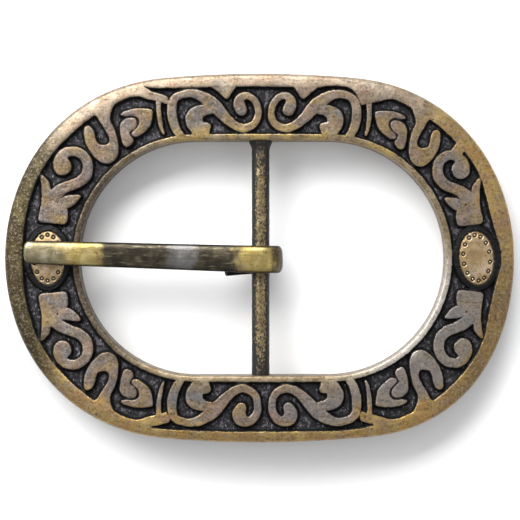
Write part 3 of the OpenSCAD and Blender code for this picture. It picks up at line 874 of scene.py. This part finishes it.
def axisOf(tree, vector, axis):
    node = addNode(tree, "SeparateXYZ")
    tree.links.new(vector, node.inputs[0])
    return node.outputs[axis]


castLook = {
    # the rim
    "pale": (0.36, 0.29, 0.215, 1), "paleMiddle": (0.26, 0.2, 0.14, 1),
    "paleDark": (0.11, 0.078, 0.048, 1),
    "ochre": (0.42, 0.3, 0.105, 1), "gold": (0.31, 0.2, 0.082, 1), "goldDark": (0.085, 0.055, 0.026, 1),
    "rose": (0.27, 0.175, 0.12, 1), "ash": (0.2, 0.18, 0.155, 1), "rust": (0.4, 0.235, 0.065, 1),
    "olive": (0.034, 0.029, 0.015, 1), "oliveLight": (0.07, 0.058, 0.028, 1),
    # the lip
    "lipLight": (0.34, 0.27, 0.18, 1), "lipMiddle": (0.22, 0.165, 0.095, 1),
    "lipDark": (0.03, 0.025, 0.02, 1), "lipHighlightTone": (0.56, 0.53, 0.49, 1),
    # the tops of the scrolls
    "topLight": (0.28, 0.218, 0.168, 1), "topMiddle": (0.17, 0.133, 0.102, 1),
    "topDark": (0.055, 0.043, 0.035, 1), "topGold": (0.28, 0.195, 0.085, 1),
    "topGrey": (0.165, 0.163, 0.165, 1), "topRose": (0.28, 0.183, 0.148, 1),
    "cornerGrey": (0.22, 0.212, 0.205, 1),
    # the recess, with its painted shade, sheen and glints
    "glint": (0.3, 0.31, 0.36, 1), "wallFootShade": (0.003, 0.0027, 0.0028, 1),
    "floor": (0.012, 0.011, 0.012, 1), "floorSheen": (0.1, 0.09, 0.1, 1),
    "specular": 0.18, "bump": 0.55, "bumpDepth": 0.00009,
}
# where each tone of the casting and each patch of painted light and shade starts and is full, in metres on
# the part's own axes
castZones = {
    "paleCentre": 0.018, "paleSlope": 0.35, "pale": (-0.001, 0.011),
    "olive": (-0.0325, -0.0385), "freeEndShadeX": (0.028, 0.04), "freeEndShadeY": (0.01, -0.008),
    "lipDarkening": (-0.017, -0.028), "lipHighlightX": (0.01, 0.025), "lipHighlightY": (0.004, -0.006),
    "goldLipX": (-0.02, -0.012), "goldLipY": (0.013, 0.018),
    "greyTopX": (-0.002, 0.012), "greyTopY": (0.006, -0.01),
    "topLeftShadeX": (0.016, -0.024), "topLeftShadeY": (-0.004, 0.012),
}


def castBrass():
    look, zones = castLook, castZones
    material, tree, shader, vector = startMaterial("castBrass")
    gap = attributeOf(tree, "edgeGap")
    plain = attributeOf(tree, "plainRim")
    band = attributeOf(tree, "bandPlace")
    kind = attributeOf(tree, "faceKind")
    x, y = axisOf(tree, vector, "X"), axisOf(tree, vector, "Y")
    drift = noiseNode(tree, vector, 90, 2, 0.5)
    broad = noiseNode(tree, vector, 170, 2, 0.5)
    patches = noiseNode(tree, vector, 330, 3, 0.6)
    hues = noiseNode(tree, stretch(tree, vector, (0.6, 1, 1)), 420, 4, 0.7)
    grain = noiseNode(tree, vector, 2400, 3, 0.65)
    streaks = noiseNode(tree, stretch(tree, vector, (0.25, 1, 1)), 2300, 3, 0.6)

    # the rim: pale along the top as painted light, golden to the right and below, and, as painted shade,
    # darker at the free end (most below) and olive at the prong's end
    up = plus(tree, y, times(tree, minus(tree, drift, 0.5), 0.03))
    away = mathNode(tree, "ABSOLUTE", plus(tree, x, zones["paleCentre"]))
    litTopShare = spread(tree, minus(tree, up, times(tree, away, zones["paleSlope"])), *zones["pale"])
    oliveShare = times(tree, spread(tree, x, *zones["olive"]), 0.95)
    freeEndShade = times(tree, spread(tree, x, *zones["freeEndShadeX"]), spread(tree, y, *zones["freeEndShadeY"], 0.1, 0.55))
    pale = brassOf(tree, vector, look, ("pale", "paleMiddle", "paleDark"), 330, 1400)
    gold = brassOf(tree, vector, look, ("ochre", "gold", "goldDark"), 260, 1300)
    rim = mixColour(tree, litTopShare, gold, pale)
    rust = times(tree, spread(tree, broad, 0.52, 0.62, 0, 0.6), minus(tree, 1.0, litTopShare))
    rim = mixColour(tree, rust, rim, look["rust"])
    rim = mixColour(tree, spread(tree, hues, 0.53, 0.62, 0, 0.55), rim, look["rose"])
    rim = mixColour(tree, spread(tree, hues, 0.46, 0.36, 0, 0.5), rim, look["ash"])
    rim = mixColour(tree, freeEndShade, rim, look["goldDark"])
    olive = mixColour(tree, spread(tree, patches, 0.5, 0.6), look["olive"], look["oliveLight"])
    rim = mixColour(tree, oliveShare, rim, olive)

    # the lip: darker towards the prong's end, gold by the bar's top end, and a painted highlight on the lower
    # lip at the free end, where it faces the top light
    lip = brassOf(tree, vector, look, ("lipLight", "lipMiddle", "lipDark"), 420, 1200)
    lipDarkening = times(tree, spread(tree, x, *zones["lipDarkening"]), 0.75)
    lipTone = mixColour(tree, lipDarkening, lip, look["lipDark"])
    # painted highlight: a pale grey on the lower lip at the free end
    lipHighlight = times(tree, spread(tree, x, *zones["lipHighlightX"]), spread(tree, y, *zones["lipHighlightY"]))
    lipTone = mixColour(tree, times(tree, lipHighlight, 0.7), lipTone, look["lipHighlightTone"])
    goldLip = times(tree, spread(tree, y, *zones["goldLipY"]), spread(tree, x, *zones["goldLipX"]))
    goldLip = times(tree, goldLip, spread(tree, patches, 0.44, 0.56, 0.1, 0.8))
    lipTone = mixColour(tree, goldLip, lipTone, look["ochre"])
    rim = mixColour(tree, spread(tree, band, 0.3, 0.2), rim, lipTone)

    # the tops of the scrolls, in patches of several tones
    topTone = brassOf(tree, vector, look, ("topLight", "topMiddle", "topDark"), 480, 1600)
    for seen, low, high, name in (
            (patches, 0.5, 0.6, "topGold"), (hues, 0.52, 0.6, "topRose"), (hues, 0.46, 0.38, "topGrey"),
            (broad, 0.54, 0.62, "topGold"), (broad, 0.47, 0.4, "topGrey")):
        share = times(tree, spread(tree, seen, low, high), 0.6)
        topTone = mixColour(tree, share, topTone, look[name])
    greyTop = times(tree, spread(tree, x, *zones["greyTopX"]), spread(tree, y, *zones["greyTopY"], 0, 0.55))
    topTone = mixColour(tree, greyTop, topTone, look["cornerGrey"])
    # painted shade: the tops darken towards the top-left, where the top light falls strongest
    topLeftShade = times(tree, spread(tree, x, *zones["topLeftShadeX"]), spread(tree, y, *zones["topLeftShadeY"], 0, 0.24))
    topTone = mixColour(tree, topLeftShade, topTone, look["topDark"])
    raised = mixColour(tree, plain, topTone, rim)
    worn = times(tree, spread(tree, grain, 0.5, 0.66), 0.45)
    raised = mixColour(tree, worn, raised, look["pale"])
    both = plus(tree, times(tree, grain, 0.5), times(tree, streaks, 0.5))
    darkening = times(tree, spread(tree, both, 0.49, 0.36), 0.55)
    raised = mixColour(tree, darkening, raised, look["goldDark"])

    # the recess: its black finish, with near-black painted shade along the foot of every wall, and a greyer
    # painted sheen in rough patches and painted glints in the open
    rough = noiseNode(tree, vector, 1100, 3, 0.7)
    ragged = plus(tree, gap, times(tree, minus(tree, grain, 0.5), 0.25))
    floorSheenShare = times(tree, spread(tree, gap, 0.35, 0.8), spread(tree, rough, 0.48, 0.66))
    floor = mixColour(tree, spread(tree, gap, 0.25, 0.6), look["wallFootShade"], look["floor"])
    floor = mixColour(tree, floorSheenShare, floor, look["floorSheen"])
    glints = noiseNode(tree, stretch(tree, vector, (1, 0.5, 1)), 2600, 3, 0.65)
    glintShare = times(tree, spread(tree, glints, 0.58, 0.72, 0, 0.6), spread(tree, gap, 0.16, 0.34))
    floor = mixColour(tree, glintShare, floor, look["glint"])
    # the recess's black finish, carried up over the walls' sloped edges as painted shade where they would
    # catch the light
    dark = spread(tree, ragged, -0.14, -0.03)
    flecks = useGroup(tree, darkFlecks, Vector=vector, Scale=2300, Amount=0.4)
    raised = mixColour(tree, times(tree, flecks.outputs["Mask"], 0.5), raised, look["floor"])
    colour = mixColour(tree, dark, raised, floor)
    # painted shade: the walls and the back are darkened halfway to dark gold
    wallAndBackShade = times(tree, spread(tree, kind, 0.1, 0.5), 0.5)
    colour = mixColour(tree, wallAndBackShade, colour, look["goldDark"])
    tree.links.new(colour, shader.inputs["Base Color"])
    marks = useGroup(tree, brushMarks, Vector=vector, Line_Scale=1100, Dent_Scale=800)
    tree.links.new(mixValue(tree, dark, 0.88, 0.0), shader.inputs["Metallic"])
    shader.inputs["Specular IOR Level"].default_value = look["specular"]
    shine = plus(tree, mixValue(tree, dark, 0.44, 0.55), marks.outputs["Rough"])
    tree.links.new(shine, shader.inputs["Roughness"])
    lift = plus(tree, marks.outputs["Height"], times(tree, rough, dark))
    lift = plus(tree, lift, times(tree, grain, 0.5))
    addBump(tree, shader, lift, look["bump"], look["bumpDepth"])
    return material


bossLook = {
    "light": (0.46, 0.34, 0.2, 1), "middle": (0.33, 0.23, 0.115, 1), "dark": (0.13, 0.085, 0.038, 1),
    "pale": (0.52, 0.42, 0.31, 1), "darkening": (0.012, 0.01, 0.008, 1),
    "specular": 0.25, "bump": 0.45, "bumpDepth": 0.00008,
}


def bossBrass():
    look = bossLook
    material, tree, shader, vector = startMaterial("bossBrass")
    dots = spread(tree, attributeOf(tree, "dots"), 0.25, 0.75)
    share = attributeOf(tree, "edgeShare")
    grain = noiseNode(tree, vector, 2400, 3, 0.65)
    hues = noiseNode(tree, vector, 480, 3, 0.6)
    tone = brassOf(tree, vector, look, ("light", "middle", "dark"), 420, 1500)
    colour = mixColour(tree, times(tree, spread(tree, hues, 0.5, 0.66), 0.6), tone, look["pale"])
    colour = mixColour(tree, times(tree, spread(tree, grain, 0.46, 0.34), 0.6), colour, look["dark"])
    ragged = plus(tree, share, times(tree, minus(tree, grain, 0.5), 0.2))
    darkening = larger(tree, dots, spread(tree, ragged, 0.95, 1.03))
    colour = mixColour(tree, darkening, colour, look["darkening"])
    tree.links.new(colour, shader.inputs["Base Color"])
    marks = useGroup(tree, brushMarks, Vector=vector, Line_Scale=1000, Dent_Scale=800)
    tree.links.new(mixValue(tree, darkening, 0.9, 0.0), shader.inputs["Metallic"])
    shader.inputs["Specular IOR Level"].default_value = look["specular"]
    tree.links.new(plus(tree, 0.4, marks.outputs["Rough"]), shader.inputs["Roughness"])
    lift = plus(tree, marks.outputs["Height"], times(tree, grain, 0.5))
    addBump(tree, shader, lift, look["bump"], look["bumpDepth"])
    return material


barLook = {
    "light": (0.36, 0.275, 0.145, 1), "middle": (0.19, 0.142, 0.07, 1), "dark": (0.05, 0.04, 0.024, 1),
    "black": (0.01, 0.009, 0.008, 1), "shine": 0.38,
    "ends": (0.0125, 0.0195), "sides": (0.00045, 0.00125),      # where it turns black, in metres
    "specular": 0.35, "bump": 0.6, "bumpDepth": 0.00012,
}


def barBrass():
    look = barLook
    material, tree, shader, vector = startMaterial("barBrass")
    x, y = axisOf(tree, vector, "X"), axisOf(tree, vector, "Y")
    ends = spread(tree, mathNode(tree, "ABSOLUTE", y), *look["ends"])
    off = mathNode(tree, "ABSOLUTE", minus(tree, x, hinge[0] * mm))
    sides = spread(tree, off, *look["sides"])
    fine = noiseNode(tree, stretch(tree, vector, (1, 0.7, 1)), 3200, 3, 0.65)
    tone = brassOf(tree, vector, look, ("light", "middle", "dark"), 700, 2200)
    level = plus(tree, times(tree, ends, 0.15), times(tree, sides, 0.22))
    mask = spread(tree, minus(tree, fine, level), 0.54, 0.35)
    colour = mixColour(tree, mask, tone, look["black"])
    tree.links.new(colour, shader.inputs["Base Color"])
    tree.links.new(mixValue(tree, mask, 0.9, 0.1), shader.inputs["Metallic"])
    shader.inputs["Specular IOR Level"].default_value = look["specular"]
    tree.links.new(mixValue(tree, mask, look["shine"], 0.5), shader.inputs["Roughness"])
    addBump(tree, shader, fine, look["bump"], look["bumpDepth"])
    return material


prongLook = {
    "goldLight": (0.47, 0.37, 0.15, 1), "gold": (0.33, 0.245, 0.08, 1), "goldDark": (0.1, 0.07, 0.03, 1),
    "tipLight": (0.36, 0.315, 0.21, 1), "tip": (0.18, 0.155, 0.088, 1), "tipDark": (0.06, 0.052, 0.03, 1),
    "shadeBrassLight": (0.075, 0.062, 0.04, 1), "shadeBrass": (0.04, 0.034, 0.024, 1),
    "shadeAndDirtDark": (0.012, 0.011, 0.01, 1),
    "dipHighlightTone": (0.2, 0.195, 0.19, 1), "black": (0.007, 0.006, 0.006, 1),
    "metallic": 0.9, "bump": 0.4, "bumpDepth": 0.00009,
}
# where each tone, painted shade and painted highlight of the prong starts and is full, in metres
prongZones = {
    "lipEnd": (-0.0282, -0.0262), "barEnd": (-0.0022, -0.0052),
    "dipHighlightStart": (-0.0168, -0.0138), "dipHighlightEnd": (-0.01, -0.0126),
    "loopBackShade": (0.0012, 0.003), "tailShadowZ": (0.0075, 0.007), "tailShadowX": (-0.009, -0.008),
    "tip": (-0.0315, -0.0355),
}


def prongBrass():
    look, zones = prongLook, prongZones
    material, tree, shader, vector = startMaterial("prongBrass")
    x, z = axisOf(tree, vector, "X"), axisOf(tree, vector, "Z")
    side = mathNode(tree, "ABSOLUTE", attributeOf(tree, "acrossPlace"))
    streaks = noiseNode(tree, stretch(tree, vector, (0.22, 1, 1)), 1900, 4, 0.65)
    grain = noiseNode(tree, vector, 2600, 3, 0.65)
    wander = times(tree, minus(tree, noiseNode(tree, vector, 500, 3, 0.6), 0.5), 0.005)
    along = plus(tree, x, wander)
    # painted shade darkens the sloping middle and the loop's back, with one painted highlight where the
    # middle's dip faces up; golden bend and crest, dull tip
    middle = times(tree, spread(tree, along, *zones["lipEnd"]), spread(tree, along, *zones["barEnd"]))
    dipHighlight = times(tree, spread(tree, along, *zones["dipHighlightStart"]), spread(tree, along, *zones["dipHighlightEnd"]))
    loopBackShade = spread(tree, along, *zones["loopBackShade"])
    # painted shadow: the tail, low under the bar, is painted black
    tailShadow = times(tree, spread(tree, z, *zones["tailShadowZ"]), spread(tree, x, *zones["tailShadowX"]))
    shade = larger(tree, middle, times(tree, loopBackShade, 0.85))
    tip = spread(tree, along, *zones["tip"])
    gold = brassOf(tree, vector, look, ("goldLight", "gold", "goldDark"), 420, 1500)
    dull = brassOf(tree, vector, look, ("tipLight", "tip", "tipDark"), 300, 1300)
    shadeBrass = brassOf(tree, vector, look, ("shadeBrassLight", "shadeBrass", "shadeAndDirtDark"), 420, 1400)
    shadeTone = mixColour(tree, times(tree, dipHighlight, 0.75), shadeBrass, look["dipHighlightTone"])
    goldTone = mixColour(tree, tip, gold, dull)
    colour = mixColour(tree, shade, goldTone, shadeTone)
    scuffs = times(tree, spread(tree, streaks, 0.54, 0.7), 0.35)
    colour = mixColour(tree, scuffs, colour, look["tipLight"])
    both = plus(tree, times(tree, streaks, 0.6), times(tree, grain, 0.4))
    darkening = times(tree, spread(tree, both, 0.47, 0.34), 0.6)
    # painted shade on both long edges, where they would catch the top light, added to the dirt
    edges = spread(tree, plus(tree, side, times(tree, grain, 0.16)), 0.84, 1.04)
    darkening = larger(tree, darkening, times(tree, edges, 0.85))
    colour = mixColour(tree, darkening, colour, look["shadeAndDirtDark"])
    colour = mixColour(tree, tailShadow, colour, look["black"])
    tree.links.new(colour, shader.inputs["Base Color"])
    marks = useGroup(tree, brushMarks, Vector=vector, Line_Scale=900, Dent_Scale=700)
    shader.inputs["Metallic"].default_value = look["metallic"]
    shine = plus(tree, mixValue(tree, darkening, 0.36, 0.5), marks.outputs["Rough"])
    tree.links.new(shine, shader.inputs["Roughness"])
    addBump(tree, shader, plus(tree, marks.outputs["Height"], streaks), look["bump"], look["bumpDepth"])
    return material


def dress(piece, material):
    piece.data.materials.clear()
    piece.data.materials.append(material)


dress(castFrame, castBrass())
bossMaterial = bossBrass()
for piece in bosses:
    dress(piece, bossMaterial)
dress(centreBar, barBrass())
dress(prongStrip, prongBrass())
print("brass finishes on")


# Floor, lights and camera
studio = {
    "floorSize": 0.9, "floorTone": (0.86, 0.86, 0.85, 1), "floorLight": (0.88, 0.88, 0.87, 1),
    "floorRoughness": 0.8, "skyTone": (0.95, 0.96, 1.0, 1), "skyPower": 0.64,
    "lens": 150.0, "sensor": 36.0, "viewWidth": 0.0897, "aim": (0.00009, -0.00035), "faceHeight": 0.0055,
    # name, place, size and power of each softbox; all of them face the buckle
    "lights": (
        ("topSoftbox", (-0.13, 0.28, 0.26), (0.5, 0.22), 3.3),
        ("leftSoftbox", (-0.3, 0.1, 0.22), (0.2, 0.3), 0.35),
        ("rightFill", (0.3, -0.05, 0.25), (0.2, 0.3), 0.15)),
}


def makeFloor():
    bm = bmesh.new()
    bmesh.ops.create_grid(bm, x_segments=1, y_segments=1, size=studio["floorSize"])
    mesh = bpy.data.meshes.new("floor")
    bm.to_mesh(mesh)
    bm.free()
    floor = bpy.data.objects.new("floor", mesh)
    bpy.context.scene.collection.objects.link(floor)
    material, tree, shader, vector = startMaterial("paleFloor")
    grain = noiseNode(tree, vector, 400, 2, 0.5)
    tone = mixColour(tree, grain, studio["floorTone"], studio["floorLight"])
    tree.links.new(tone, shader.inputs["Base Color"])
    shader.inputs["Roughness"].default_value = studio["floorRoughness"]
    dress(floor, material)


def makeLight(name, position, size, power):
    data = bpy.data.lights.new(name, "AREA")
    data.shape = "RECTANGLE"
    data.size, data.size_y = size
    data.energy = power
    light = bpy.data.objects.new(name, data)
    bpy.context.scene.collection.objects.link(light)
    light.location = position
    light.rotation_euler = (-Vector(position)).to_track_quat("-Z", "Y").to_euler()


def makeCamera():
    s = studio
    data = bpy.data.cameras.new("camera")
    data.lens, data.sensor_width = s["lens"], s["sensor"]
    camera = bpy.data.objects.new("camera", data)
    bpy.context.scene.collection.objects.link(camera)
    away = s["viewWidth"] * s["lens"] / s["sensor"]
    camera.location = (s["aim"][0], s["aim"][1], s["faceHeight"] + away)
    data.clip_start, data.clip_end = 0.01, 10
    bpy.context.scene.camera = camera


makeFloor()
for light in studio["lights"]:
    makeLight(*light)
world = bpy.data.worlds.new("softSky")
bpy.context.scene.world = world
world.use_nodes = True
background = world.node_tree.nodes["Background"]
background.inputs["Color"].default_value = studio["skyTone"]
background.inputs["Strength"].default_value = studio["skyPower"]
bpy.context.scene.view_settings.view_transform = "Standard"
makeCamera()
print("studio ready")
